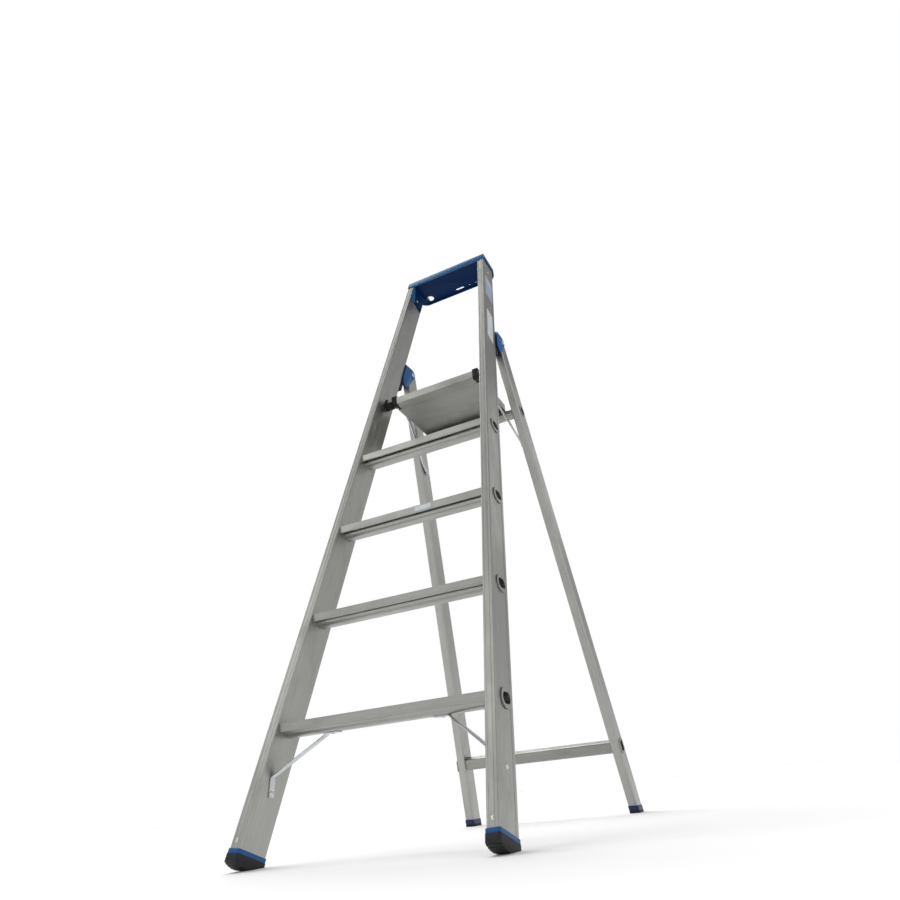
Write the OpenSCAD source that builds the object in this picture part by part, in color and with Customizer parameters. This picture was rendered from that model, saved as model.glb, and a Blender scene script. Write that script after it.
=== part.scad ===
// Platform stepladder: two leaning front stiles with treads, a top tray, a folding rear
// frame and a platform that folds up with it.
// Frame: X across the ladder, Y from front to rear, Z up from the floor.

/* [Overall] */
// Outer width over the stiles at the floor
foot_w = 562; // [540:1:580]
// Outer width over the stiles at the top edge
top_w = 314; // [306:1:326]
// Height of the tray's top edge above the floor
total_h = 1898; // [1880:1:1920]
// Lean of the front stiles seen from the side, in degrees from vertical
front_lean = 19; // [18:0.25:20]
// Lean of the rear legs seen from the side, in degrees from vertical
rear_lean = 17.1; // [16.5:0.1:18]

/* [Stiles] */
// Width of a stile's front face
stile_w = 24; // [23:0.5:26]
// Depth of a stile from front to back
stile_d = 80; // [78:1:84]
// Wall of the stile extrusion
stile_wall = 2; // [1.6:0.1:2.4]

/* [Treads] */
// Number of treads below the platform
treads = 4; // [4:1:4]
// Height of the first tread's top above the floor
first_tread = 264; // [260:1:270]
// Rise from one tread to the next
pitch = 250; // [245:1:252]
// Depth of a tread from front to back
tread_d = 78; // [74:1:79]
// Distance of a tread's front edge behind the stile's front edge
tread_set = 4.7; // [4:0.1:6]

/* [Tread tube] */
// Width of the oval tube under a tread
tube_w = 41; // [38:1:42]
// Height of the oval tube under a tread
tube_h = 28; // [27:1:30]
// Width of the swaged rim round the tube's end
rim_w = 48; // [46:1:52]
// Height of the swaged rim round the tube's end
rim_h = 40; // [36:1:42]

/* [Rear frame] */
// Height of the fold hinge above the floor
hinge_h = 1461; // [1455:1:1467]
// Distance of the fold hinge behind the stile's front edge
hinge_back = 125; // [124:0.5:128]
// Width of a rear leg across the ladder
leg_w = 27.5; // [26:0.5:29]
// Depth of a rear leg
leg_d = 59; // [56:1:60]
// Wall of the rear leg extrusion
leg_wall = 2; // [1.6:0.1:2.4]
// Outer width over the rear legs at the hinge
leg_top_w = 377; // [376:1:379]

/* [Platform] */
// Thickness of the platform
deck_t = 25; // [24:1:28]
// Depth of the platform from front to rear
deck_d = 233; // [228:1:236]
// Half the width of the platform deck
deck_half = 146; // [140:1:146]
// Distance of the platform's front edge behind the stile's front edge
deck_set = 37; // [34:1:40]

/* [Tray] */
// Height of the tray's rim
tray_h = 28; // [24:1:32]
// Depth of the tray along the top
tray_d = 116; // [110:1:120]
// Radius of the round tool hole
tool_hole_r = 14; // [12:0.5:15]

/* [Hidden] */
$fn = 96;

// Small distances used everywhere
gap = 0.1;                 // between pieces fixed to each other
run = 0.05;                // radial clearance of a turning fit
big = 2400;                // longer than the ladder

// Front stile frame
lean = tan(front_lean);                          // rearward run of a stile for each unit of height
tau = atan((foot_w - top_w) / 2 / total_h);      // sideways lean of a stile
theta = atan(lean * cos(tau));                   // rearward lean in the stile's own face
function half_w(z) = foot_w / 2 - z * tan(tau);  // half the outer width at height z
inner_cut = -stile_w / cos(tau);                 // offset of the inner faces from the outer faces
function stile_z(h, y = 0) = (h / cos(tau) + y * sin(theta)) / cos(theta);

// Fold hinge
hinge_y = lean * hinge_h + hinge_back / cos(theta);
rear_tau = atan((foot_w - leg_top_w) / 2 / hinge_h);
phi = atan(tan(rear_lean) * cos(rear_tau));
fold = front_lean + rear_lean;                   // turn of the rear frame from open to closed
pin_r = 6;

// Platform linkage, as [y, z] points
platform_h = first_tread + treads * pitch;
deck_y = lean * platform_h + deck_set;           // front edge of the deck
deck_z = platform_h - deck_t;                    // underside of the deck
pivot = [deck_y + 7, deck_z + 4.5];
pivot_r = 4;
hinge = [hinge_y, hinge_h];
anchor_len = 360;                                // hinge to strut anchor along the rear leg
anchor = hinge + anchor_len * [sin(rear_lean), -cos(rear_lean)];
anchor_closed = hinge - anchor_len * [sin(front_lean), cos(front_lean)];
platform_turn = 90 - front_lean;                 // turn of the platform from open to closed
// The strut has one length, so its distance along the deck follows from both end positions
a_open = anchor - pivot;
a_closed = anchor_closed - pivot;
strut_along = (a_open * a_open - a_closed * a_closed)
  / (2 * (a_open[0] - a_closed[0] * cos(platform_turn) - a_closed[1] * sin(platform_turn)));
strut_top = pivot + [strut_along, 0];
strut_len = norm(anchor - strut_top);
strut_tilt = atan2(anchor[0] - strut_top[0], strut_top[1] - anchor[1]);
strut_top_x = deck_half + 3.6;                   // inner face of the strut at the deck
strut_low_x = leg_inner(anchor[1]) - 6.4;        // inner face of the strut at the rear leg
strut_t = 3;
strut_w = 13;
function leg_inner(z) = foot_w / 2 - z * tan(rear_tau) - leg_w / cos(rear_tau);

// Rear cross members, as distances from the hinge along the leg and from its middle
tube_r = 17;
tube_z = deck_z - 0.4 - tube_r;                  // the deck rests just above the tube
tube_off = 0;
bar_h = 33;
bar_d = 38;
bar_z = 186;

// The frame's origin is under the middle of the ladder
front_y = 4.95;                                  // most forward point, on a front sole
rear_y = hinge_y + hinge_h * tan(rear_lean) + (leg_d / 2 + 1.5) / cos(phi);
mid_y = (front_y + rear_y) / 2;

module placed() { translate([0, -mid_y, 0]) children(); }
module on_side(side) { mirror([side < 0 ? 1 : 0, 0, 0]) children(); }

// Frame of a front stile: x = 0 at its outer face, y = 0 at its front face, z along it
module on_stile(side) {
  placed() on_side(side) translate([foot_w / 2, 0, 0])
    rotate([0, -tau, 0]) rotate([-theta, 0, 0]) children();
}

// Frame of a rear leg: x = 0 at its outer face, z = 0 at the hinge, -z down the leg
module on_leg(side) {
  placed() on_side(side) translate([leg_top_w / 2, hinge_y, hinge_h])
    rotate([0, -rear_tau, 0]) rotate([phi, 0, 0]) children();
}

module along_x(len) { rotate([90, 0, 90]) linear_extrude(len, center = true) children(); }

// Everything between the two outer stile faces moved out by o
module between(o) {
  translate([0, big, 0]) rotate([90, 0, 0]) linear_extrude(2 * big)
    polygon([[-half_w(0) - o, 0], [half_w(0) + o, 0],
      [half_w(total_h + 100) + o, total_h + 100], [-half_w(total_h + 100) - o, total_h + 100]]);
}

// The same between the outer faces of the rear legs
module between_legs(o) {
  top = hinge_h + 100;
  low = foot_w / 2 + o;
  high = foot_w / 2 - top * tan(rear_tau) + o;
  translate([0, big, 0]) rotate([90, 0, 0]) linear_extrude(2 * big)
    polygon([[-low, 0], [low, 0], [high, top], [-high, top]]);
}

module rounded(w, h, r) {
  square([w - 2 * r, h], center = true);
  square([w, h - 2 * r], center = true);
  for (x = [-1, 1], y = [-1, 1]) translate([x * (w / 2 - r), y * (h / 2 - r)]) circle(r);
}

module stadium(w, h) {
  square([w - h, h], center = true);
  for (x = [-1, 1]) translate([x * (w - h) / 2, 0]) circle(d = h);
}

// Domed rivet along +X with its head's underside at x = 0 and a shank of length len behind it
module rivet(head_r, shank_r, len, head_h = 2) {
  dome_r = (head_r * head_r + head_h * head_h) / (2 * head_h);
  rotate([0, 90, 0]) intersection() {
    translate([0, 0, head_h - dome_r]) sphere(dome_r);
    cylinder(r = head_r, h = head_h);
  }
  translate([-len, 0, 0]) rotate([0, 90, 0]) cylinder(r = shank_r, h = len + 0.2);
}

// ---- Stiles ----
foot_z = 38;                                     // lower end of the stile in its own frame
brace_z = 152;                                   // lower brace rivet in the stile's frame
tray_rivet_z = stile_z(total_h) - 74;
stile_end_h = total_h - 5;

module stile_section() {
  r = 2.5;
  translate([-stile_w / 2, stile_d / 2]) difference() {
    rounded(stile_w, stile_d, r);
    rounded(stile_w - 2 * stile_wall, stile_d - 2 * stile_wall, 1);
    // shallow panel in the outer face and groove in the front face
    translate([stile_w / 2 - 0.6, -28]) square([1, 56]);
    for (x = [-7, 3.6]) translate([x, -stile_d / 2 - 0.3]) square([3.4, 0.9]);
  }
}

module stile(side) {
  color("silver") difference() {
    on_stile(side) translate([0, 0, foot_z])
      linear_extrude(stile_z(total_h + 40) - foot_z) stile_section();
    placed() translate([-big / 2, 0, stile_end_h]) cube([big, big, 200]);
    placed() for (i = [0:treads - 1]) tube_place(i) along_x(big) stadium(tube_w + 2 * gap, tube_h + 2 * gap);
    on_stile(side) stile_rivet_holes();
  }
}

module stile_rivet_holes() {
  for (z = [brace_z, tray_rivet_z]) translate([0, stile_d / 2, z]) rotate([0, 90, 0])
    cylinder(r = 3 + gap, h = 100, center = true);
  translate([-stile_w / 2, 0, 58]) rotate([90, 0, 0]) cylinder(r = 2 + gap, h = 20, center = true);
  for (z = hinge_rivet_z) translate([-stile_w / 2, stile_d, z]) rotate([90, 0, 0])
    cylinder(r = 2.5 + gap, h = 20, center = true);
  for (y = [-7, 7]) bracket_rivet_at(y) rotate([0, 90, 0]) cylinder(r = 2 + gap, h = 20, center = true);
}

// ---- Treads ----
tube_y = 38;                                     // middle of the oval tube behind the tread's front edge
function tread_h(i) = first_tread + i * pitch;
module tube_place(i) {
  translate([0, lean * tread_h(i) + tread_set + tube_y, tread_h(i) - tube_h / 2]) children();
}

// Section with its origin at the middle of the oval tube
module tread_section() {
  top_t = 3;
  lip = 18;
  difference() {
    union() {
      translate([-tube_y, tube_h / 2 - top_t]) square([tread_d, top_t]);
      translate([-tube_y, tube_h / 2 - lip]) square([2.4, lip]);
      translate([-tube_y, tube_h / 2 - lip]) square([5, 2.4]);
      translate([tread_d - tube_y - 2.4, tube_h / 2 - 11]) square([2.4, 11]);
      stadium(tube_w, tube_h);
    }
    for (k = [0:13]) translate([-tube_y + 5 + k * 5, tube_h / 2 - 1]) square([2, 2]);
  }
}

module tread(i) {
  color("gainsboro") placed() tube_place(i) difference() {
    union() {
      intersection() {
        unplace_tube(i) between(inner_cut - gap);
        along_x(foot_w) tread_section();
      }
      intersection() {
        unplace_tube(i) between(2.6);
        along_x(foot_w + 20) stadium(tube_w, tube_h);
      }
      // swaged rims outside the stiles
      difference() {
        intersection() {
          unplace_tube(i) between(2.6);
          along_x(foot_w + 20) stadium(rim_w, rim_h);
        }
        unplace_tube(i) between(gap);
      }
    }
    along_x(foot_w + 40) stadium(tube_w - 5, tube_h - 5);
    // the first tread carries the braces
    if (i == 0) for (side = [-1, 1]) translate([side * brace_top_x, 0, -tube_h / 2 - 1])
      cylinder(r = 2.5 + gap, h = 5);
  }
}

module unplace_tube(i) {
  translate([0, -lean * tread_h(i) - tread_set - tube_y, -tread_h(i) + tube_h / 2]) children();
}

// ---- Tray ----
tray_front = lean * total_h - 1.5;
tray_floor = total_h - tray_h + 6;               // underside of the tray's floor
tray_wall = 4;

module tray_profile(inset) {
  polygon([[tray_front - lean * tray_h + inset, 0], [tray_front + inset, tray_h],
    [tray_front + tray_d - inset, tray_h], [tray_front + tray_d - inset, 0]]);
}

module tray_plan(inset) {
  r = 34 - inset;
  w = 2 * half_w(total_h - tray_h) + 4 - 2 * inset;
  translate([0, tray_front + tray_d / 2 - 20]) rounded(w, tray_d + 40 - 2 * inset, r);
}

module tool_tray() {
  socket_x = half_w(total_h) - stile_w - 4;      // inner wall of the two end sockets
  color("royalblue") difference() {
    placed() union() {
      difference() {
        intersection() {
          translate([0, 0, total_h - tray_h]) along_x(foot_w) tray_profile(0);
          between(1.5);
          linear_extrude(big) tray_plan(0);
        }
        // open well above the floor
        intersection() {
          translate([0, 0, total_h - tray_h]) along_x(2 * socket_x) tray_profile(tray_wall);
          linear_extrude(big) tray_plan(tray_wall);
          translate([-big / 2, 0, tray_floor + 3]) cube([big, big, 100]);
        }
        // hollow under the floor, behind the front lip
        intersection() {
          translate([0, 0, total_h - tray_h]) along_x(2 * socket_x) tray_profile(tray_wall + 2);
          translate([-big / 2, 0, 0]) cube([big, big, tray_floor]);
        }
        // the rear edge is only a low lip
        translate([-socket_x, tray_front + tray_d - tray_wall - 1, tray_floor + 6])
          cube([2 * socket_x, 20, tray_h]);
      }
    }
    tray_socket(1);
    tray_socket(-1);
    placed() tray_holes();
  }
  for (side = [-1, 1]) color("royalblue") tray_cheek(side);
}

module tray_holes() {
  z = total_h - tray_h - 10;
  rear = tray_front + tray_d;
  translate([-114, rear - 25, z]) cylinder(r = tool_hole_r, h = 60);
  translate([13, rear - 17, z]) linear_extrude(60) stadium(34, 9);
  for (x = [54, 80]) translate([x, rear - 16, z]) cylinder(r = 2.6, h = 60);
}

// Space taken by the level-cut top of a stile
module tray_socket(side) {
  intersection() {
    on_stile(side) translate([-stile_w - 0.3, -0.3, stile_z(total_h) - 90])
      cube([stile_w + 0.6, stile_d + 0.6, 200]);
    placed() translate([-big / 2, 0, 0]) cube([big, big, stile_end_h + 0.3]);
  }
}

module tray_cheek(side) {
  low = 98;                                      // reach of the cheek below the rim
  on_stile(side) difference() {
    translate([-stile_w - 0.3 - 3.4, 5, stile_z(total_h) - low])
      cube([3.4, stile_d - 10, low - 38]);
    translate([0, stile_d / 2, tray_rivet_z]) rotate([0, 90, 0])
      cylinder(r = 3 + gap, h = 100, center = true);
  }
  // web that ties the cheek to the tray's end
  intersection() {
    on_stile(side) translate([-stile_w - 0.3 - 3.4, 5, stile_z(total_h) - 40])
      cube([3.4, stile_d - 10, 40]);
    placed() translate([-big / 2, 0, 0]) cube([big, big, tray_floor + 1]);
  }
}

module tray_rivets() {
  color("lightgrey") for (side = [-1, 1]) on_stile(side) {
    translate([gap - 0.6, stile_d / 2, tray_rivet_z]) rivet(5.5, 3, stile_w + 4);
    translate([-stile_w - 3.7 - gap, stile_d / 2, tray_rivet_z]) mirror([1, 0, 0]) rivet(5, 2.9, 0.1);
  }
}

// ---- Front feet ----
collar_h = 8;
collar_out = 2;

module foot_collar(side) {
  color("steelblue") on_stile(side) {
    translate([-stile_w / 2, stile_d / 2, foot_z - 2]) difference() {
      linear_extrude(collar_h) rounded(stile_w + 2 * collar_out, stile_d + 2 * collar_out, 4);
      translate([0, 0, 2 - gap]) linear_extrude(collar_h) rounded(stile_w + 2 * gap, stile_d + 2 * gap, 2.6);
    }
    // plug inside the stile
    translate([-stile_w / 2, stile_d / 2, foot_z - 1]) difference() {
      linear_extrude(34) rounded(stile_w - 2 * stile_wall - 0.4, stile_d - 2 * stile_wall - 0.4, 1.5);
      translate([0, -stile_d / 2, 58 - foot_z + 1]) rotate([90, 0, 0])
        cylinder(r = 2 + gap, h = 30, center = true);
    }
  }
}

sole_contact = 55;                               // where the curved front of a sole meets the floor
sole_r = 68;                                     // radius of that curve

// Side outline of a sole in [y, z]: flat behind the contact line, curved up in front of it
module sole_outline() {
  groove_r = 1.3;
  difference() {
    union() {
      translate([sole_contact, 0]) square([120, sole_r]);
      intersection() {
        translate([sole_contact, sole_r]) circle(sole_r);
        translate([sole_contact - sole_r, 0]) square([sole_r, sole_r]);
      }
    }
    for (a = [8:7:43]) translate([sole_contact - sole_r * sin(a), sole_r - sole_r * cos(a)]) circle(groove_r);
    for (k = [0:4]) translate([sole_contact + 3 + k * 6.5, 0]) circle(groove_r);
  }
}

module foot_sole(side) {
  low = -12;
  color("dimgray") intersection() {
    on_stile(side) translate([-stile_w / 2, stile_d / 2, low])
      linear_extrude(foot_z - 2 - gap - low) rounded(stile_w + 2 * collar_out + 1, stile_d + 2 * collar_out + 1, 4);
    placed() along_x(foot_w + 60) sole_outline();
  }
}

module foot_rivets() {
  color("darkgray") for (side = [-1, 1]) on_stile(side)
    translate([-stile_w / 2, gap - 0.1, 58]) rotate([0, 0, -90]) rivet(4, 2, 12, 1.4);
}

// ---- Braces between the stiles and the first tread ----
brace_w = 14;
brace_t = 2.5;
brace_top_x = 130;                               // upper rivet from the middle of the ladder
tab = 32;                                        // length of the flat tab under the tread
brace_low_z = 122;
brace_bend_z = 162;
brace_high_z = tread_h(0) - tube_h - 0.2;

module brace_outline() {
  xi = half_w(brace_low_z) + inner_cut - gap;
  xb = half_w(brace_bend_z) + inner_cut - gap;
  xt = brace_top_x + 14;
  t = brace_t;
  polygon([[xi, brace_low_z], [xb, brace_bend_z], [xt, brace_high_z], [xt - tab, brace_high_z],
    [xt - tab, brace_high_z - t], [xt - 1, brace_high_z - t], [xb - t, brace_bend_z - t], [xi - t, brace_low_z]]);
}

// The strip follows the stile's lean, so its own plane leans between the two rivets
module brace(side) {
  y_low = lean * 132 + stile_d / 2 / cos(theta);
  y_high = lean * tread_h(0) + tread_set + tube_y;
  slope = atan((y_high - y_low) / (brace_high_z - 142));
  color("lightsteelblue") difference() {
    placed() on_side(side) difference() {
      brace_slab(y_low, y_high) brace_outline();
      translate([brace_top_x, y_high, brace_high_z - 10]) cylinder(r = 2.5 + gap, h = 20);
    }
    on_stile(side) translate([0, stile_d / 2, brace_z]) rotate([0, 90, 0])
      cylinder(r = 3 + gap, h = 100, center = true);
  }
}

module brace_slab(y_low, y_high) {
  y = (y_low + y_high) / 2;
  w = y_high - y_low + brace_w;
  intersection() {
    translate([0, y + w / 2 + 2, 0]) rotate([90, 0, 0]) linear_extrude(w + 4) children();
    // keeps a strip of the brace's width round the line between the two rivets
    rotate([90, 0, 90]) linear_extrude(foot_w) polygon([
      [y_low - brace_w / 2, brace_low_z - 1], [y_low + brace_w / 2, brace_low_z - 1],
      [y_low + brace_w / 2, brace_bend_z - 4], [y_high + brace_w / 2, brace_high_z - 6],
      [y_high + brace_w / 2, brace_high_z + 1], [y_high - brace_w / 2, brace_high_z + 1],
      [y_high - brace_w / 2, brace_high_z - 6], [y_low - brace_w / 2, brace_bend_z - 4]]);
  }
}

module brace_lower_rivets() {
  color("lightgrey") for (side = [-1, 1]) on_stile(side) {
    translate([-0.6 + gap, stile_d / 2, brace_z]) rivet(6, 3, stile_w + brace_t + 1, 2.6);
    translate([-stile_w - brace_t - 0.4, stile_d / 2, brace_z]) mirror([1, 0, 0]) rivet(5.5, 2.9, 0.1, 2.6);
  }
}

module brace_upper_rivets() {
  color("lightgrey") for (side = [-1, 1])
    placed() on_side(side) translate([brace_top_x, lean * tread_h(0) + tread_set + tube_y, brace_high_z - brace_t - gap])
      rotate([0, 90, 0]) rivet(5, 2.5, 8, 2);
}

// ---- Fold hinge ----
pad_t = 7;                                       // thickness of the black pad on the stile
saddle_t = 3;                                    // plate of the housing behind the pad
cheek_t = 3.2;
cheek_gap = 1.5;                                 // side play between the leg and a cheek
cheek_r = 18;                                    // round of the cheek behind the pin
hinge_s = stile_z(hinge_h, hinge_back);          // hinge height in the stile's frame
pad_low = hinge_s - 126;
pad_high = hinge_s + 8;
housing_low = hinge_s - 60;
housing_high = hinge_s + 2;
hinge_rivet_z = [pad_low + 14, hinge_s - 16];
pad_foot_t = 12;                                 // the pad is thicker below the housing

module hinge_pad(side) {
  bevel = 5;
  color("black") on_stile(side) difference() {
    translate([-stile_w - 1.5, 0, 0]) rotate([90, 0, 90]) linear_extrude(stile_w + 3)
      polygon([[stile_d + gap, pad_low], [stile_d + pad_foot_t, pad_low + bevel],
        [stile_d + pad_foot_t, housing_low - bevel], [stile_d + pad_t, housing_low - 1],
        [stile_d + pad_t, pad_high - bevel], [stile_d + gap, pad_high]]);
    for (z = hinge_rivet_z) translate([-stile_w / 2, stile_d, z]) rotate([90, 0, 0])
      cylinder(r = 2.5 + gap, h = 60, center = true);
  }
}

// Outline of a hinge cheek in [y, z] of the stile's frame: two rounds and the edge along the pad
module cheek_outline() {
  base = stile_d + gap;
  c = [hinge_back - 3, hinge_s];
  low_r = 17;
  low_c = [99, hinge_s - 68];
  d = low_c - c;
  a = atan2(d[1], d[0]) + acos((cheek_r - low_r) / norm(d));
  n = [cos(a), sin(a)];                          // outward from the edge between the rounds
  translate(c) circle(cheek_r);
  translate(low_c) circle(low_r);
  polygon([[base, housing_high], c + cheek_r * [cos(112), sin(112)], c, c + cheek_r * n,
    low_c + low_r * n, low_c, low_c + low_r * [cos(200), sin(200)], [base, housing_low]]);
}

module hinge_housing(side) {
  off = leg_top_w / 2 - half_w(hinge_h);         // how far the leg stands outside the stile
  color("royalblue") difference() {
    on_stile(side) union() {
      // outer and inner cheeks
      translate([off + cheek_gap, 0, 0]) rotate([90, 0, 90]) linear_extrude(cheek_t) cheek_outline();
      translate([off - leg_w - cheek_gap - cheek_t, 0, 0]) rotate([90, 0, 90])
        linear_extrude(cheek_t) cheek_outline();
      // saddle plate behind the pad that joins them
      translate([off - leg_w - cheek_gap - 1, stile_d + pad_t + gap, housing_low])
        cube([leg_w + 2 * cheek_gap + 2, saddle_t, housing_high - housing_low]);
    }
    hinge_bore(pin_r + gap);
    on_stile(side) translate([-stile_w / 2, stile_d, hinge_rivet_z[1]]) rotate([-90, 0, 0])
      cylinder(r = 2.5 + gap, h = 30);
    // room for the pad between the cheeks
    on_stile(side) translate([-stile_w - 1.6, stile_d, housing_low - 20])
      cube([stile_w + 3.2, pad_t + gap, 200]);
  }
}

module hinge_bore(r) {
  placed() translate([0, hinge_y, hinge_h]) rotate([0, 90, 0]) cylinder(r = r, h = big, center = true);
}

module hinge_rivets() {
  out = [pad_foot_t - pad_t + gap, saddle_t + 2 * gap];
  color("lightgrey") for (side = [-1, 1]) on_stile(side) for (k = [0, 1])
    translate([-stile_w / 2, stile_d + pad_t + out[k], hinge_rivet_z[k]])
      rotate([0, 0, 90]) rivet(5, 2.5, 12, 1.7);
}

module hinge_pin(side) {
  out = leg_top_w / 2 + cheek_gap + cheek_t + 0.6;
  len = leg_w + 2 * (cheek_gap + cheek_t) + 1.2;
  color("silver") placed() on_side(side) translate([out, hinge_y, hinge_h]) {
    rotate([0, -90, 0]) cylinder(r = pin_r, h = len);
    rivet(9, pin_r, 1, 2.6);
    translate([-len, 0, 0]) mirror([1, 0, 0]) rivet(9, pin_r, 1, 2.6);
  }
}

// ---- Rear frame ----
leg_top = 14;
leg_end_r = 22;                                  // round of the leg's end about the hinge
leg_taper = 26;                                  // distance below the hinge where the end starts to narrow
leg_corner = 5;
leg_cut_h = 18;                                  // level cut at the bottom of the leg
leg_len = hinge_h / cos(phi) + 40;

module leg_section(inset, r) {
  translate([-leg_w / 2, 0]) rounded(leg_w - 2 * inset, leg_d - 2 * inset, r);
}

// Side outline of a leg in [y, z] of its frame, rounded at the hinge
module leg_outline() {
  a = 20;
  intersection() {
    union() {
      circle(leg_end_r);
      polygon([[-leg_d / 2 - 1, -leg_len - 1], [leg_d / 2 + 1, -leg_len - 1], [leg_d / 2 + 1, -leg_taper],
        leg_end_r * [cos(a), sin(a)], leg_end_r * [-cos(a), sin(a)], [-leg_d / 2 - 1, -leg_taper]]);
    }
    translate([-leg_d, -leg_len - 1]) square([2 * leg_d, leg_len + 1 + leg_top]);
  }
}

module rear_leg(side) {
  color("silver") difference() {
    on_leg(side) intersection() {
      translate([0, 0, -leg_len]) linear_extrude(leg_len + leg_top + 1) difference() {
        leg_section(0, leg_corner);
        leg_section(leg_wall, leg_corner - leg_wall);
      }
      along_x(4 * leg_w) leg_outline();
    }
    placed() translate([-big / 2, 0, leg_cut_h - 200]) cube([big, big, 200]);
    hinge_bore(pin_r + 0.5);
    placed() at_tube() along_x(big) circle(tube_r + gap);
    placed() bar_frame() along_x(big) rounded(bar_d + 2 * gap, bar_h + 2 * gap, 6);
    on_leg(side) translate([0, 0, -anchor_len]) rotate([0, 90, 0]) cylinder(r = 4 + gap, h = 100, center = true);
  }
}

// Middle of the upper cross tube and, in the leg's frame, of the lower crossbar
module at_tube() {
  y = hinge_y + (hinge_h - tube_z) * tan(rear_lean) + tube_off;
  translate([0, y, tube_z]) children();
}
bar_along = (hinge_h - bar_z) / cos(rear_lean);

module leg_plug(side) {
  color("dimgray") difference() {
    on_leg(side) intersection() {
      translate([0, 0, -40]) linear_extrude(41 + leg_top) leg_section(leg_wall + gap, leg_corner - leg_wall);
      along_x(4 * leg_w) leg_outline();
    }
    hinge_bore(pin_r + run);
  }
}

module rear_cross_tube() {
  color("silver") placed() difference() {
    union() {
      intersection() {
        between_legs(1.6);
        at_tube() along_x(foot_w) circle(tube_r);
      }
      difference() {
        intersection() {
          between_legs(1.6);
          at_tube() along_x(foot_w) circle(tube_r + 2.5);
        }
        between_legs(gap);
      }
    }
    at_tube() along_x(foot_w + 20) circle(tube_r - 2.2);
  }
}

// The lower bar keeps the legs' own tilt, with fluted faces
module rear_crossbar() {
  color("darkgray") placed() difference() {
    union() {
      intersection() {
        between_legs(2.6);
        bar_frame() along_x(foot_w + 60) bar_section();
      }
      difference() {
        intersection() {
          between_legs(2.6);
          bar_frame() along_x(foot_w + 60) rounded(bar_d + 6, bar_h + 6, 9);
        }
        between_legs(gap);
      }
    }
    bar_frame() along_x(foot_w + 80) rounded(bar_d - 4.4, bar_h - 4.4, 4);
  }
}

module bar_section() {
  difference() {
    rounded(bar_d, bar_h, 6);
    for (k = [-2:2], m = [-1, 1]) translate([m * bar_d / 2, k * 4.5]) square([1.2, 1.8], center = true);
    for (k = [-2:2], m = [-1, 1]) translate([k * 5, m * bar_h / 2]) square([1.8, 1.2], center = true);
  }
}

// Position of the lower bar's middle in the ladder's frame, turned with the legs
module bar_frame() {
  translate([0, hinge_y, hinge_h]) rotate([rear_lean, 0, 0])
    translate([0, -leg_d / 2 + bar_d / 2 + 5, -bar_along]) children();
}

module leg_block(o, r, low, high) {
  intersection() {
    on_leg(1) translate([0, 0, -leg_len]) linear_extrude(leg_len) translate([-leg_w / 2, 0])
      rounded(leg_w + 2 * o, leg_d + 2 * o, r);
    placed() translate([0, 0, low]) cube([big, big, high - low]);
  }
}

module rear_foot(side) {
  color("midnightblue") on_side(side) {
    difference() {
      leg_block(1.5, 6, 6, 20);
      leg_block(gap, leg_corner, leg_cut_h - gap, 40);
    }
    intersection() {
      leg_block(-leg_wall - 0.2, leg_corner - leg_wall, leg_cut_h - 1, 44);
      placed() cube([big, big, big]);
    }
  }
}

module rear_sole(side) { color("black") on_side(side) leg_block(1.5, 6, 0, 6 - gap); }

module strut_anchor_rivets() {
  color("lightgrey") for (side = [-1, 1])
    on_leg(side) translate([gap, 0, -anchor_len]) rivet(6, 4, leg_w - 1, 2.4);
}

// ---- Platform ----
deck_front = 34;                                 // depth of the front profile
notch_x = deck_half - 11;                        // inner end of the notch for a corner cap
notch_y = deck_front - 2;                        // depth of that notch

module deck_section() {
  cells = 6;
  cell = (deck_d - deck_front - 2) / cells;
  difference() {
    translate([0, 0]) square([deck_d, deck_t]);
    translate([2.5, 2.5]) square([deck_front - 5, deck_t - 5]);
    for (k = [0:cells - 1]) translate([deck_front + k * cell, 2]) square([cell - 2, deck_t - 5]);
    for (k = [0:30]) translate([6 + k * 7.2, deck_t - 1]) square([3, 2]);
    // line under the front profile
    translate([deck_front - 1, -1]) square([1.2, 1.6]);
  }
}

module platform_deck() {
  color("lightgrey") placed() difference() {
    translate([0, deck_y, deck_z]) along_x(2 * deck_half) deck_section();
    // the front corners are cut away for the caps
    for (side = [-1, 1]) on_side(side) translate([notch_x, deck_y - 1, deck_z - 1])
      cube([40, notch_y + 1, deck_t + 2]);
  }
}

module deck_end(side) {
  color("silver") placed() on_side(side) difference() {
    translate([deck_half + gap + 1, 0, 0]) along_x(2) {
      translate([deck_y + deck_front, deck_z]) square([deck_d - deck_front, deck_t]);
    }
    translate([0, strut_top[0], strut_top[1]]) rotate([0, 90, 0]) cylinder(r = 3.5 + gap, h = big, center = true);
    for (y = [60, 200]) translate([0, deck_y + y, deck_z + 15]) rotate([0, 90, 0])
      cylinder(r = 2 + gap, h = big, center = true);
  }
}

module deck_end_rivets() {
  color("lightgrey") for (side = [-1, 1]) placed() on_side(side) for (y = [60, 200])
    translate([deck_half + gap + 2, deck_y + y, deck_z + 15]) rivet(3.6, 2, 1.9, 1.2);
}

module platform_cap(side) {
  w = 17;
  low = -2;                                      // reach below and above the deck
  high = 8;
  d = notch_y + 1.5 - gap;
  lug_r = 10;
  color("black") placed() on_side(side) difference() {
    union() {
      translate([notch_x + gap + w / 2, deck_y + d / 2 - 1.5, deck_z + (deck_t + high - low) / 2])
        along_x(w) rounded(d, deck_t + low + high, 6);
      translate([notch_x + gap + w / 2, pivot[0], pivot[1]]) along_x(w) circle(lug_r);
      // tongue inside the deck's front profile
      translate([notch_x - 14, deck_y + 2.8, deck_z + 2.8]) cube([20, notch_y - 3.6, deck_t - 5.6]);
    }
    translate([0, pivot[0], pivot[1]]) rotate([0, 90, 0]) cylinder(r = pivot_r + gap, h = big, center = true);
  }
}

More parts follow.
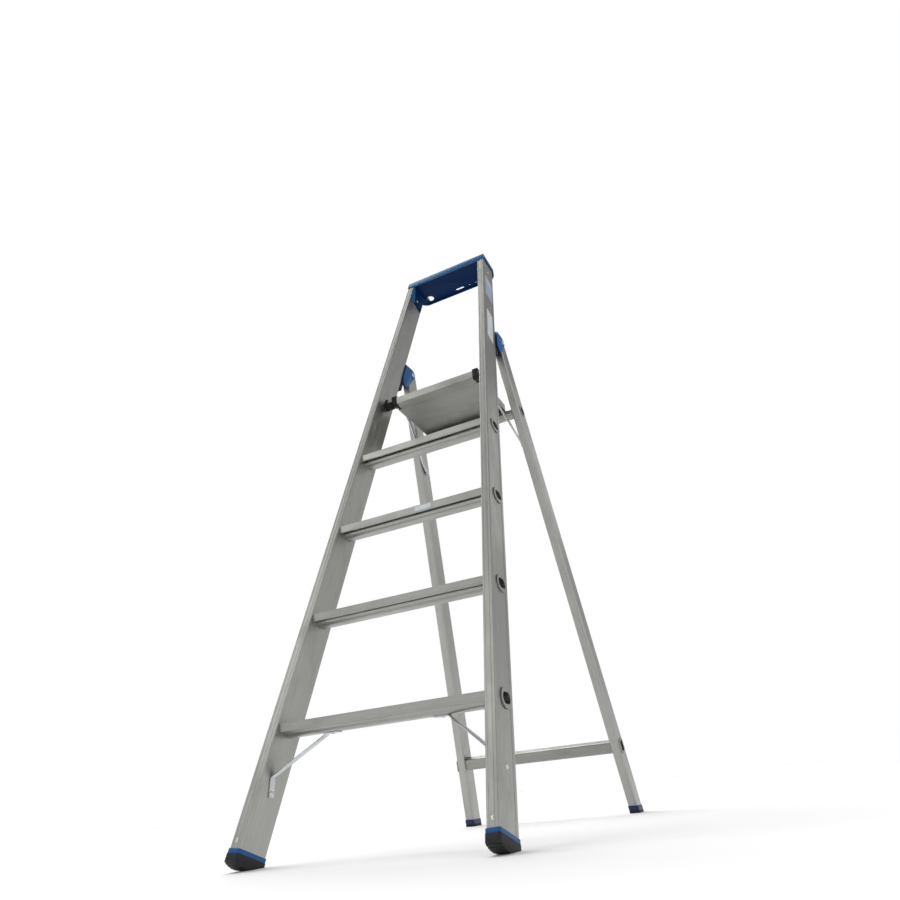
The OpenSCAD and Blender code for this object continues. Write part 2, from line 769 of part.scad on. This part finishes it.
// Height of the deck's pivot seen in the stile's frame
pivot_s = stile_z(pivot[1], pivot_back());
function pivot_back() = (pivot[0] - lean * pivot[1]) * cos(theta);
module bracket_rivet_at(dy) { translate([-stile_w, pivot_back() + dy, pivot_s + 20]) children(); }

module platform_bracket(side) {
  color("black") difference() {
    intersection() {
      union() {
        placed() on_side(side) translate([notch_x + 17.5, pivot[0], pivot[1]]) rotate([0, 90, 0])
          cylinder(r = 13, h = 40);
        on_stile(side) translate([-stile_w - 4, pivot_back() - 13, pivot_s - 4]) cube([5, 26, 30]);
      }
      placed() between(inner_cut - gap);
    }
    placed() translate([0, pivot[0], pivot[1]]) rotate([0, 90, 0]) cylinder(r = pivot_r + run, h = big, center = true);
    on_stile(side) for (y = [-7, 7]) bracket_rivet_at(y) rotate([0, 90, 0])
      cylinder(r = 2 + gap, h = 20, center = true);
  }
}

module bracket_rivets() {
  color("lightgrey") for (side = [-1, 1]) on_stile(side) for (y = [-7, 7])
    bracket_rivet_at(y) translate([-4 - gap, 0, 0]) mirror([1, 0, 0]) rivet(3.6, 2, 7, 1.2);
}

module platform_pins() {
  low = notch_x + 2;
  high = half_w(pivot[1]) + inner_cut - 2.5;
  color("silver") for (side = [-1, 1]) placed() on_side(side) translate([low, pivot[0], pivot[1]])
    rotate([0, 90, 0]) cylinder(r = pivot_r, h = high - low);
}

// ---- Struts ----
// Frame of a strut: origin at its top pivot, -z towards the anchor, x across the ladder
module on_strut(side) {
  placed() on_side(side) translate([0, strut_top[0], strut_top[1]]) rotate([strut_tilt, 0, 0]) children();
}

module strut_side() {
  a = strut_top_x;
  b = strut_low_x;
  t = strut_t;
  polygon([[a, 9], [a, -16], [b, -strut_len + 18], [b, -strut_len - 9], [b + t, -strut_len - 9],
    [b + t, -strut_len + 18], [a + t, -16], [a + t, 9]]);
}

module strut(side) {
  color("slategray") on_strut(side) difference() {
    intersection() {
      rotate([90, 0, 0]) linear_extrude(strut_w, center = true) strut_side();
      rotate([0, 90, 0]) linear_extrude(big) union() {
        circle(d = strut_w);
        translate([0, -strut_w / 2]) square([strut_len, strut_w]);
        translate([strut_len, 0]) circle(d = strut_w);
      }
    }
    rotate([0, 90, 0]) cylinder(r = 3.5 + run, h = big);
    translate([0, 0, -strut_len]) rotate([0, 90, 0]) cylinder(r = 4 + gap, h = big);
    // pressed channel along the middle
    rotate([90, 0, 0]) linear_extrude(6, center = true)
      polygon([[strut_top_x - 1, -22], [strut_top_x + 1.2, -22], [strut_low_x + 1.2, -strut_len + 22],
        [strut_low_x - 1, -strut_len + 22]]);
  }
}

module strut_top_pins() {
  color("lightgrey") for (side = [-1, 1]) placed() on_side(side)
    translate([strut_top_x + strut_t + 0.6, strut_top[0], strut_top[1]]) rivet(6, 3.5, strut_t + 3.4, 2);
}

// Bolt that stays with the strut and stops short of the rear leg
module strut_bolt(side) {
  color("lightgrey") on_strut(side) translate([strut_low_x - gap, 0, -strut_len]) {
    mirror([1, 0, 0]) rivet(6.5, 4, strut_t + 2, 3);
    translate([strut_t + 2 * gap, 0, 0]) rotate([0, 90, 0]) cylinder(r = 6, h = 1.6);
  }
}

// ---- Labels ----
// Blank film on the outer face of the right stile; from and to are distances below its top
module stile_label(from, to, front, rear) {
  on_stile(1) translate([-0.5, front, stile_z(total_h) - to]) cube([0.4, rear - front, to - from]);
}
module stile_label_upper() { color("lightblue") stile_label(130, 255, 16, 68); }
module stile_label_lower() { color("whitesmoke") stile_label(352, 512, 20, 62); }

module tread_label() {
  color("white") placed() translate([20, lean * tread_h(2) + tread_set - 0.5, tread_h(2) - 15]) cube([46, 0.4, 12]);
}

stile(-1);  // stile_left
stile(1);  // stile_right
tread(0);  // tread_1
tread(1);  // tread_2
tread(2);  // tread_3
tread(3);  // tread_4
tool_tray();
tray_rivets();
foot_collar(-1);  // foot_collar_left
foot_collar(1);  // foot_collar_right
foot_sole(-1);  // foot_sole_left
foot_sole(1);  // foot_sole_right
foot_rivets();
brace(-1);  // brace_left
brace(1);  // brace_right
brace_lower_rivets();
brace_upper_rivets();
hinge_pad(-1);  // hinge_pad_left
hinge_pad(1);  // hinge_pad_right
hinge_housing(-1);  // hinge_housing_left
hinge_housing(1);  // hinge_housing_right
hinge_rivets();
hinge_pin(-1);  // hinge_pin_left
hinge_pin(1);  // hinge_pin_right
platform_bracket(-1);  // platform_bracket_left
platform_bracket(1);  // platform_bracket_right
bracket_rivets();
stile_label_upper();
stile_label_lower();
tread_label();
rear_leg(-1);  // rear_leg_left
rear_leg(1);  // rear_leg_right
leg_plug(-1);  // leg_plug_left
leg_plug(1);  // leg_plug_right
rear_cross_tube();
rear_crossbar();
rear_foot(-1);  // rear_foot_left
rear_foot(1);  // rear_foot_right
rear_sole(-1);  // rear_sole_left
rear_sole(1);  // rear_sole_right
strut_anchor_rivets();
platform_deck();
deck_end(-1);  // deck_end_left
deck_end(1);  // deck_end_right
platform_cap(-1);  // platform_cap_left
platform_cap(1);  // platform_cap_right
platform_pins();
strut_top_pins();
deck_end_rivets();
strut(-1);  // strut_left
strut(1);  // strut_right
strut_bolt(-1);  // strut_bolt_left
strut_bolt(1);  // strut_bolt_right
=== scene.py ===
import math

import bmesh
import bpy
from mathutils import Euler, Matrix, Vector


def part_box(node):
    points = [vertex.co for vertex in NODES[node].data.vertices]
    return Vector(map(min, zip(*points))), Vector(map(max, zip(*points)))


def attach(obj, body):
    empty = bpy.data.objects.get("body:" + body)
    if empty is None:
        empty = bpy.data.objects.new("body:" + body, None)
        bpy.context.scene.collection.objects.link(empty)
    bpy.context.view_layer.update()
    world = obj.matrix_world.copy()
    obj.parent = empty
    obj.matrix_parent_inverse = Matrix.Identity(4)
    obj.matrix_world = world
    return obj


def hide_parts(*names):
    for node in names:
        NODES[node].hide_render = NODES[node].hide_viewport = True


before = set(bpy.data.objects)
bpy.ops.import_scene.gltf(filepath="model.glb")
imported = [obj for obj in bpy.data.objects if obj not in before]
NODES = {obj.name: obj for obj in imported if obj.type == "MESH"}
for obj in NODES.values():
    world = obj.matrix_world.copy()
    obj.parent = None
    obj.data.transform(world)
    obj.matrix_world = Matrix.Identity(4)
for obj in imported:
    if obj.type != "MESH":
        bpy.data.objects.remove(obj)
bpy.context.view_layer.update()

MM = 0.001

# ---------------------------------------------------------------- directions
# The ladder's own slants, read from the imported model, so that drawn lines run along each extrusion.


def slant(node):
    """Rotation that turns Z to the long axis of a leaning node."""
    low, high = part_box(node)
    reach = high - low
    mesh = NODES[node].data
    top = [v.co for v in mesh.vertices if v.co.z > high.z - 0.02 * reach.z]
    foot = [v.co for v in mesh.vertices if v.co.z < low.z + 0.02 * reach.z]
    middle = [sum(points, Vector()) / len(points) for points in (foot, top)]
    return (middle[1] - middle[0]).to_track_quat("Z", "Y").to_euler()


ACROSS = Euler((0, math.pi / 2, 0))          # long axis along X
UPRIGHT = Euler((0, 0, 0))

# ---------------------------------------------------------------- material tools


class Graph:
    """One material's node tree, with short calls for the nodes that are used here."""

    def __init__(self, name):
        self.material = bpy.data.materials.new(name)
        self.material.use_nodes = True
        self.tree = self.material.node_tree
        self.tree.nodes.clear()
        out = self.node("OutputMaterial")
        self.shader = self.node("BsdfPrincipled")
        self.link(self.shader.outputs["BSDF"], out.inputs["Surface"])
        self.place = self.node("TexCoord").outputs["Object"]

    def node(self, kind, **settings):
        made = self.tree.nodes.new("ShaderNode" + kind)
        for key, value in settings.items():
            setattr(made, key, value)
        return made

    def link(self, source, target):
        self.tree.links.new(source, target)

    def put(self, node, **values):
        """Sets inputs by name: a socket is linked, a number or colour is stored."""
        for key, value in values.items():
            socket = node.inputs[key.replace("_", " ")]
            if isinstance(value, bpy.types.NodeSocket):
                self.link(value, socket)
            else:
                socket.default_value = value
        return node

    def along(self, turn, size):
        """Coordinates in a turned frame, with one unit per size metres on each axis."""
        made = self.node("Mapping", vector_type="TEXTURE")
        self.put(made, Vector=self.place, Rotation=turn, Scale=size)
        return made.outputs["Vector"]

    def noise(self, place, detail=4.0, roughness=0.55, distortion=0.0):
        made = self.node("TexNoise")
        self.put(made, Vector=place, Scale=1.0, Detail=detail, Roughness=roughness,
                 Distortion=distortion)
        return made.outputs["Fac"]

    def cells(self, place):
        made = self.node("TexVoronoi", feature="F1")
        self.put(made, Vector=place, Scale=1.0)
        return made.outputs["Distance"]

    def span(self, value, low, high, to_low=0.0, to_high=1.0):
        made = self.node("MapRange")
        self.put(made, Value=value)
        for index, number in enumerate((low, high, to_low, to_high), start=1):
            made.inputs[index].default_value = number
        return made.outputs["Result"]

    def maths(self, kind, a, b):
        made = self.node("Math", operation=kind)
        for socket, value in zip(made.inputs, (a, b)):
            if isinstance(value, bpy.types.NodeSocket):
                self.link(value, socket)
            else:
                socket.default_value = value
        return made.outputs["Value"]

    def mix(self, factor, a, b):
        made = self.node("Mix", data_type="RGBA", blend_type="MIX")
        for index, value in ((0, factor), (6, a), (7, b)):
            if isinstance(value, bpy.types.NodeSocket):
                self.link(value, made.inputs[index])
            else:
                made.inputs[index].default_value = value
        return made.outputs[2]

    def tint(self, colour, value, dark, light):
        """The colour, darker where value is 0 and lighter where it is 1."""
        low = [c * dark for c in colour[:3]] + [1]
        high = [min(1, c * light) for c in colour[:3]] + [1]
        return self.mix(value, low, high)

    def relief(self, height, depth, strength=1.0, under=None):
        made = self.node("Bump")
        self.put(made, Height=height, Distance=depth, Strength=strength)
        if under is not None:
            self.link(under, made.inputs["Normal"])
        return made.outputs["Normal"]

    def soft_edge(self, radius):
        made = self.node("Bevel", samples=4)
        made.inputs["Radius"].default_value = radius
        return made.outputs["Normal"]


def rgb(red, green, blue):
    """A colour given as 0-255 values on screen, as the linear colour a shader wants."""
    def linear(c):
        c = c / 255
        return c / 12.92 if c <= 0.04045 else ((c + 0.055) / 1.055) ** 2.4
    return (linear(red), linear(green), linear(blue), 1)


# ---------------------------------------------------------------- materials
TRAY_FLOOR = 20 * MM                         # the tray's floor, below its rim
TRAY_LIP = 117 * MM                          # the back of the tray's front lip, from its rear


def aluminium(name, turn, colour, rough=0.36, stain=0.5, scuff=0.5, underside_shade=None):
    """Extruded, unpolished aluminium: drawn lines along the bar, dull stains and fine scuffs, and
    optionally a painted shade darkening the underside.
    """
    g = Graph(name)
    fine = g.noise(g.along(turn, (0.0011, 0.0011, 0.35)), detail=3)
    broad = g.noise(g.along(turn, (0.006, 0.006, 0.9)), detail=2)
    cloud = g.noise(g.along(turn, (0.05, 0.05, 0.12)), detail=6, roughness=0.62, distortion=0.4)
    speck = g.noise(g.along(turn, (0.004, 0.004, 0.006)), detail=5, roughness=0.7)
    scratch = g.noise(g.along((turn[0] + 0.5, turn[1] + 0.3, turn[2]), (0.0009, 0.03, 0.0012)),
                      detail=2)
    lines = g.maths("ADD", g.maths("MULTIPLY", fine, 0.55), g.maths("MULTIPLY", broad, 0.45))
    body = g.tint(colour, g.span(lines, 0.35, 0.65), 0.90, 1.07)
    dull = g.span(cloud, 0.46, 0.70)
    stained = g.mix(g.maths("MULTIPLY", dull, 0.34 * stain), body,
                    [c * 0.62 for c in colour[:3]] + [1])
    spots = g.maths("MULTIPLY", g.span(speck, 0.60, 0.76), 0.25 * stain)
    spotted = g.mix(spots, stained, [c * 0.5 for c in colour[:3]] + [1])
    marks = g.maths("MULTIPLY", g.span(scratch, 0.68, 0.74), g.span(cloud, 0.40, 0.62))
    worn = g.mix(g.maths("MULTIPLY", marks, 0.45 * scuff), spotted,
                 [min(1, c * 1.35) for c in colour[:3]] + [1])
    gloss = g.maths("ADD", g.span(lines, 0.3, 0.7, rough - 0.06, rough + 0.06),
                    g.maths("MULTIPLY", dull, 0.16))
    height = g.maths("ADD", g.maths("MULTIPLY", fine, 0.6), g.maths("MULTIPLY", marks, -0.5))
    edge = g.soft_edge(0.0009)
    normal = g.relief(height, 0.00009, 0.55, edge)
    if underside_shade:
        # painted shade: the underside of a node, up to the given height, is darkened and dull
        node, depth = underside_shade
        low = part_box(node)[0].z
        axes = g.node("SeparateXYZ")
        g.put(axes, Vector=g.place)
        shade = g.span(axes.outputs["Z"], low + depth, low + depth * 0.7)
        patchy = g.span(cloud, 0.3, 0.7, 0.82, 1.0)
        worn = g.mix(g.maths("MULTIPLY", shade, patchy), worn,
                     g.tint([c * 0.6 for c in colour[:3]], lines, 0.8, 1.1))
    g.put(g.shader, Base_Color=worn, Roughness=gloss, Normal=normal, Metallic=1.0)
    return g.material


def moulded(name, colour, rough=0.42, grain=0.0005, fade=0.25, shine=0.4, recess_shade=None):
    """Moulded plastic: fine grain, faint flow marks, paler rubbed patches, and optionally a painted
    shade in a recess.
    """
    g = Graph(name)
    grit = g.noise(g.along(UPRIGHT, (grain,) * 3), detail=2, roughness=0.6)
    flow = g.noise(g.along(UPRIGHT, (0.03,) * 3), detail=5, roughness=0.6, distortion=0.6)
    rub = g.noise(g.along(UPRIGHT, (0.004, 0.012, 0.004)), detail=5, roughness=0.7)
    body = g.tint(colour, g.span(flow, 0.3, 0.7), 0.88, 1.10)
    pale = [c * 0.7 + 0.06 for c in colour[:3]] + [1]
    rubbed = g.mix(g.maths("MULTIPLY", g.span(rub, 0.56, 0.75), fade), body, pale)
    if recess_shade:
        # painted shade: a dark colour and little specular shine under a tray, behind its front lip
        node, shade_colour = recess_shade
        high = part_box(node)[1]
        axes = g.node("SeparateXYZ")
        g.put(axes, Vector=g.place)
        under = g.span(axes.outputs["Z"], high.z - TRAY_FLOOR, high.z - TRAY_FLOOR - 1 * MM)
        behind = g.span(axes.outputs["Y"], high.y - TRAY_LIP - 2 * MM, high.y - TRAY_LIP)
        shaded = g.maths("MULTIPLY", under, behind)
        rubbed = g.mix(shaded, rubbed, g.tint(shade_colour, flow, 0.9, 1.1))
        shine = g.span(shaded, 0, 1, shine, 0.05)
    g.put(g.shader, Base_Color=rubbed,
          Roughness=g.span(g.maths("ADD", g.maths("MULTIPLY", rub, 0.6), g.maths("MULTIPLY", flow, 0.4)),
                           0.3, 0.7, rough - 0.07, rough + 0.12),
          Normal=g.relief(grit, 0.00008, 0.5, g.soft_edge(0.0007)), Specular_IOR_Level=shine)
    return g.material


def rubber(name, colour):
    """Dusty ribbed rubber: matt, with grey dirt in the low relief."""
    g = Graph(name)
    grit = g.noise(g.along(UPRIGHT, (0.0007,) * 3), detail=4, roughness=0.7)
    dirt = g.noise(g.along(UPRIGHT, (0.014,) * 3), detail=6, roughness=0.65)
    dust = g.maths("MULTIPLY", g.span(dirt, 0.48, 0.72), g.span(grit, 0.35, 0.7))
    body = g.mix(g.maths("MULTIPLY", dust, 0.45), colour, rgb(96, 92, 86))
    g.put(g.shader, Base_Color=body, Roughness=g.span(dust, 0, 1, 0.62, 0.92),
          Normal=g.relief(grit, 0.00025, 0.8, g.soft_edge(0.0008)), Specular_IOR_Level=0.35)
    return g.material


def zinc(name, colour, rough=0.34):
    """Zinc-plated steel: faint crystals, a cool sheen with warmer spots, tiny pits."""
    g = Graph(name)
    crystal = g.cells(g.along(UPRIGHT, (0.003,) * 3))
    patch = g.noise(g.along(UPRIGHT, (0.016,) * 3), detail=5, roughness=0.6)
    pits = g.noise(g.along(UPRIGHT, (0.0008,) * 3), detail=3)
    body = g.tint(colour, g.span(crystal, 0.1, 0.8), 0.86, 1.08)
    warm = g.mix(g.maths("MULTIPLY", g.span(patch, 0.5, 0.75), 0.35), body, rgb(176, 164, 140))
    g.put(g.shader, Base_Color=warm, Roughness=g.span(patch, 0.3, 0.7, rough - 0.08, rough + 0.14),
          Normal=g.relief(pits, 0.00008, 0.5, g.soft_edge(0.0006)), Metallic=1.0)
    return g.material


def film(name, colour, band=None):
    """Blank adhesive film with faint creases; band is the colour of a plain printed field."""
    g = Graph(name)
    crease = g.noise(g.along(UPRIGHT, (0.02, 0.02, 0.008)), detail=4, distortion=0.8)
    body = g.tint(colour, g.span(crease, 0.35, 0.65), 0.93, 1.03)
    if band:
        fields = g.noise(g.along(UPRIGHT, (0.3, 0.3, 0.055)), detail=0)
        body = g.mix(g.span(fields, 0.49, 0.50, 0.0, 0.75), body, band)
    wear = g.noise(g.along(UPRIGHT, (0.006,) * 3), detail=6, roughness=0.75)
    body = g.mix(g.maths("MULTIPLY", g.span(wear, 0.60, 0.72), 0.5), body, rgb(150, 150, 148))
    g.put(g.shader, Base_Color=body, Roughness=g.span(wear, 0.4, 0.7, 0.28, 0.5),
          Normal=g.relief(crease, 0.0002, 0.5))
    return g.material


def pale_floor():
    g = Graph("pale_floor")
    haze = g.noise(g.along(UPRIGHT, (1.5,) * 3), detail=3)
    g.put(g.shader, Base_Color=g.tint((0.95, 0.95, 0.95, 1), haze, 0.995, 1.005), Roughness=0.9,
          Specular_IOR_Level=0.1)
    return g.material


BARE = (0.375, 0.375, 0.355, 1)              # unpolished aluminium under studio light
BLUE = rgb(22, 83, 128)


def paint(names, material):
    for name in names:
        slots = NODES[name].data.materials
        slots.clear()
        slots.append(material)


def pair(name):
    return [name + "_left", name + "_right"]


for side in ("right", "left"):
    paint(["stile_" + side], aluminium(f"stile_{side}_metal", slant("stile_" + side), BARE))
for side in ("right", "left"):
    paint(["rear_leg_" + side],
          aluminium(f"leg_{side}_metal", slant("rear_leg_" + side), BARE, stain=0.35))
paint(["tread_1", "tread_2", "tread_3", "tread_4"],
      aluminium("tread_metal", ACROSS, (0.37, 0.37, 0.35, 1), rough=0.38, stain=0.8))
# the deck's underside gets a painted shade, 3 mm deep
paint(["platform_deck"], aluminium("deck_metal", ACROSS, (0.36, 0.36, 0.34, 1), rough=0.40,
                                   stain=1.3, scuff=0.9, underside_shade=("platform_deck", 0.003)))
paint(pair("deck_end"), aluminium("deck_end_metal", UPRIGHT, (0.34, 0.34, 0.33, 1)))
paint(["rear_cross_tube", "rear_crossbar"],
      aluminium("cross_metal", ACROSS, (0.31, 0.31, 0.29, 1), rough=0.36, stain=0.7))
paint(pair("brace") + pair("strut"), zinc("zinc_steel", (0.55, 0.58, 0.60, 1)))
paint(["tray_rivets", "foot_rivets", "brace_lower_rivets", "brace_upper_rivets", "hinge_rivets",
       "bracket_rivets", "strut_anchor_rivets", "strut_top_pins", "deck_end_rivets",
       "platform_pins"] + pair("strut_bolt") + pair("hinge_pin"),
      zinc("rivet_steel", (0.60, 0.60, 0.59, 1), rough=0.28))
# the tray's underside, behind its lip, gets a painted shade in dark navy
paint(["tool_tray"], moulded("tray_blue", BLUE, shine=0.25, fade=0.24,
                            recess_shade=("tool_tray", rgb(0, 32, 70))))
paint(pair("hinge_housing"), moulded("hinge_blue", rgb(8, 79, 137), rough=0.36, shine=0.3))
paint(pair("foot_collar"), moulded("collar_blue", rgb(12, 78, 137), shine=0.3))
paint(pair("rear_foot"), moulded("foot_navy", rgb(14, 34, 78)))
paint(pair("hinge_pad") + pair("platform_bracket") + pair("platform_cap"),
      moulded("black_plastic", rgb(15, 15, 17), rough=0.45, fade=0.18, shine=0.25))
paint(pair("leg_plug"), moulded("plug_grey", rgb(58, 60, 64)))
paint(pair("foot_sole") + pair("rear_sole"), rubber("black_rubber", rgb(26, 27, 28)))
paint(["stile_label_upper"], film("pale_label", rgb(170, 176, 186), band=rgb(136, 150, 182)))
paint(["stile_label_lower", "tread_label"], film("white_label", rgb(196, 202, 206)))

# ---------------------------------------------------------------- moulded and pressed pieces
# Real mouldings and pressings have no sharp edges: these copies stand for their nodes with every
# edge rounded.


def softened(name, body, radius):
    mesh = NODES[name].data.copy()
    work = bmesh.new()
    work.from_mesh(mesh)
    bmesh.ops.remove_doubles(work, verts=work.verts, dist=0.01 * MM)
    bmesh.ops.dissolve_limit(work, angle_limit=math.radians(1), verts=work.verts, edges=work.edges)
    sharp = [edge for edge in work.edges
             if edge.is_manifold and edge.calc_face_angle() > math.radians(28)]
    bmesh.ops.bevel(work, geom=sharp, offset=radius, segments=2, profile=0.5,
                    affect="EDGES", clamp_overlap=True)
    for face in work.faces:
        face.smooth = True
    work.to_mesh(mesh)
    work.free()
    mesh.set_sharp_from_angle(angle=math.radians(40))
    piece = bpy.data.objects.new(name + "_soft", mesh)
    bpy.context.scene.collection.objects.link(piece)
    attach(piece, body)
    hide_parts(name)


for names, body, slot, radius in (
        (["tool_tray"], "front_frame", "tray_blue", 1.3 * MM),
        (pair("hinge_housing"), "front_frame", "hinge_blue", 1.1 * MM),
        (pair("hinge_pad"), "front_frame", "black_plastic", 1.4 * MM),
        (pair("platform_bracket"), "front_frame", "black_plastic", 1.0 * MM),
        (pair("foot_collar"), "front_frame", "foot_blue", 0.7 * MM),
        (pair("platform_cap"), "platform", "black_plastic", 1.4 * MM),
        (pair("rear_foot"), "rear_frame", "foot_navy", 0.7 * MM),
        (pair("rear_sole"), "rear_frame", "black_rubber", 0.8 * MM),
        (pair("foot_sole"), "front_frame", "black_rubber", 0.6 * MM),
        (pair("brace"), "front_frame", "zinc_steel", 0.6 * MM)):
    for name in names:
        softened(name, body, radius)

# ---------------------------------------------------------------- stage
bpy.ops.mesh.primitive_circle_add(radius=60, vertices=96, fill_type="NGON")
floor = bpy.context.object
floor.name = "floor"
floor.data.materials.append(pale_floor())


def softbox(name, spot, aim, size, power, colour=(1, 1, 1)):
    light = bpy.data.lights.new(name, "AREA")
    light.shape = "RECTANGLE"
    light.size, light.size_y = size
    light.energy = power
    light.color = colour
    holder = bpy.data.objects.new(name, light)
    holder.location = spot
    holder.rotation_euler = (Vector(aim) - Vector(spot)).to_track_quat("-Z", "Y").to_euler()
    bpy.context.scene.collection.objects.link(holder)


MIDDLE = (0, 0, 0.95)
softbox("key", (-2.6, -3.4, 3.6), MIDDLE, (2.4, 2.4), 24, (1.0, 1.0, 0.97))
softbox("fill", (3.8, -1.6, 2.2), MIDDLE, (2.0, 3.0), 16, (0.97, 0.98, 1.0))
softbox("rim", (0.8, 4.2, 3.2), MIDDLE, (3.0, 1.6), 10)
window = bpy.data.lights.new("window", "SUN")
window.energy = 2.2
window.angle = math.radians(60)
window_holder = bpy.data.objects.new("window", window)
window_holder.rotation_euler = Vector((0.55, -0.45, -0.9)).to_track_quat("-Z", "Y").to_euler()
bpy.context.scene.collection.objects.link(window_holder)


UPPER_REAR = Vector((0.12, 0.86, 0.50)).normalized()
SKY_STRENGTH = 1.14


def studio_sky():
    """White behind the object; the light on it is strongest from half-way up, and weak from the
    upper rear."""
    world = bpy.data.worlds.new("studio")
    bpy.context.scene.world = world
    world.use_nodes = True
    tree = world.node_tree
    tree.nodes.clear()

    def node(kind):
        return tree.nodes.new("ShaderNode" + kind)

    place = node("TexCoord").outputs["Generated"]
    split, ramp = node("SeparateXYZ"), node("ValToRGB")
    stops = ramp.color_ramp.elements
    for stop, (position, level) in zip([stops[0], stops[1], stops.new(0.5)],
                                       ((0.0, 0.80), (0.58, 1.0), (1.0, 0.30))):
        stop.position = position
        stop.color = (level, level, level * 1.01, 1)
    toward = node("VectorMath")
    toward.operation = "DOT_PRODUCT"
    toward.inputs[1].default_value = UPPER_REAR
    shade = node("MapRange")
    for index, number in enumerate((0.88, 0.99, 1.0, 0.4), start=1):
        shade.inputs[index].default_value = number
    dim, lit, seen = node("VectorMath"), node("Background"), node("Background")
    dim.operation = "SCALE"
    lit.inputs["Strength"].default_value = SKY_STRENGTH
    seen.inputs["Color"].default_value = (1, 1, 1, 1)
    mix, out = node("MixShader"), node("OutputWorld")
    for source, target in (
            (place, split.inputs[0]), (split.outputs["Z"], ramp.inputs["Fac"]),
            (place, toward.inputs[0]), (toward.outputs["Value"], shade.inputs["Value"]),
            (ramp.outputs["Color"], dim.inputs[0]), (shade.outputs["Result"], dim.inputs["Scale"]),
            (dim.outputs[0], lit.inputs["Color"]),
            (node("LightPath").outputs["Is Camera Ray"], mix.inputs["Fac"]),
            (lit.outputs[0], mix.inputs[1]), (seen.outputs[0], mix.inputs[2]),
            (mix.outputs[0], out.inputs["Surface"])):
        tree.links.new(source, target)


studio_sky()

# ---------------------------------------------------------------- camera
CAMERA_SPOT = (0.732158, -1.612076, 0.089812)
CAMERA_TURN = (115.4077, 5.1933, 24.7585)    # degrees
camera_data = bpy.data.cameras.new("camera")
camera_data.lens = 25.761
camera_data.sensor_width = 36
camera_data.shift_x = -0.02847
camera_data.shift_y = 0.04346
camera = bpy.data.objects.new("camera", camera_data)
camera.location = CAMERA_SPOT
camera.rotation_euler = [math.radians(angle) for angle in CAMERA_TURN]
bpy.context.scene.collection.objects.link(camera)
bpy.context.scene.camera = camera
bpy.context.scene.view_settings.view_transform = "Standard"
